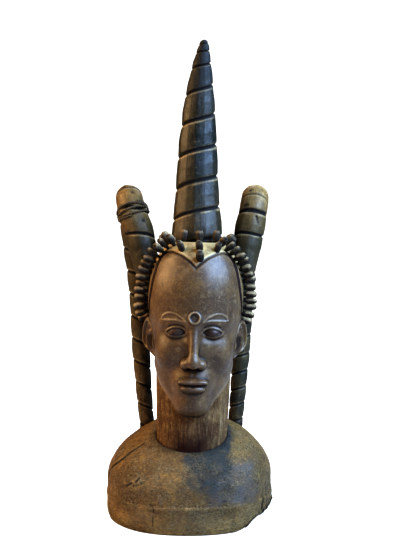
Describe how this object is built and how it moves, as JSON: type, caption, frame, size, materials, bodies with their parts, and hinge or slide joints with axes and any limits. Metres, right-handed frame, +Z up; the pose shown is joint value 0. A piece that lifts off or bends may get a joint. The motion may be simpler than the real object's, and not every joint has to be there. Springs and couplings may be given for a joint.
{
  "type": "ekoi mask",
  "caption": "Carved wooden crest mask worn as a cap: a skin-covered head with a spiral crown horn, arched side horns and pegs for hair.",
  "frame": {"origin": "middle of the rim's outline, on the plane that the mask stands on", "axes": "+Z up along the crown horn, the face looks along -Y, +X to the viewer's right"},
  "size_m": [0.248, 0.248, 0.6936],
  "materials": {
    "cap": "worn leathery brown, semi-gloss",
    "skin": "skin stretched over carved wood, rubbed and semi-gloss",
    "horn": "dark brown-black patina, rubbed lips",
    "peg": "dark turned wood with rubbed tips",
    "cord": "dark twisted cord"
  },
  "bodies": {
    "root": {"head": "skin", "horn_binding": "cord", "horn_center": "horn", "horn_left": "horn", "horn_right": "horn", "peg_crown_1": "peg", "peg_crown_10": "peg", "peg_crown_11": "peg", "peg_crown_12": "peg", "peg_crown_2": "peg", "peg_crown_3": "peg", "peg_crown_4": "peg", "peg_crown_5": "peg", "peg_crown_6": "peg", "peg_crown_7": "peg", "peg_crown_8": "peg", "peg_crown_9": "peg", "peg_forehead_1": "peg", "peg_forehead_2": "peg", "peg_forehead_3": "peg", "peg_forehead_4": "peg", "peg_left_nape_1": "peg", "peg_left_nape_2": "peg", "peg_left_nape_3": "peg", "peg_left_temple_1": "peg", "peg_left_temple_10": "peg", "peg_left_temple_11": "peg", "peg_left_temple_12": "peg", "peg_left_temple_13": "peg", "peg_left_temple_2": "peg", "peg_left_temple_3": "peg", "peg_left_temple_4": "peg", "peg_left_temple_5": "peg", "peg_left_temple_6": "peg", "peg_left_temple_7": "peg", "peg_left_temple_8": "peg", "peg_left_temple_9": "peg", "peg_nape_middle": "peg", "peg_right_nape_1": "peg", "peg_right_nape_2": "peg", "peg_right_nape_3": "peg", "peg_right_temple_1": "peg", "peg_right_temple_10": "peg", "peg_right_temple_11": "peg", "peg_right_temple_12": "peg", "peg_right_temple_13": "peg", "peg_right_temple_2": "peg", "peg_right_temple_3": "peg", "peg_right_temple_4": "peg", "peg_right_temple_5": "peg", "peg_right_temple_6": "peg", "peg_right_temple_7": "peg", "peg_right_temple_8": "peg", "peg_right_temple_9": "peg", "shoulder_base": "cap"}
  },
  "joints": []
}
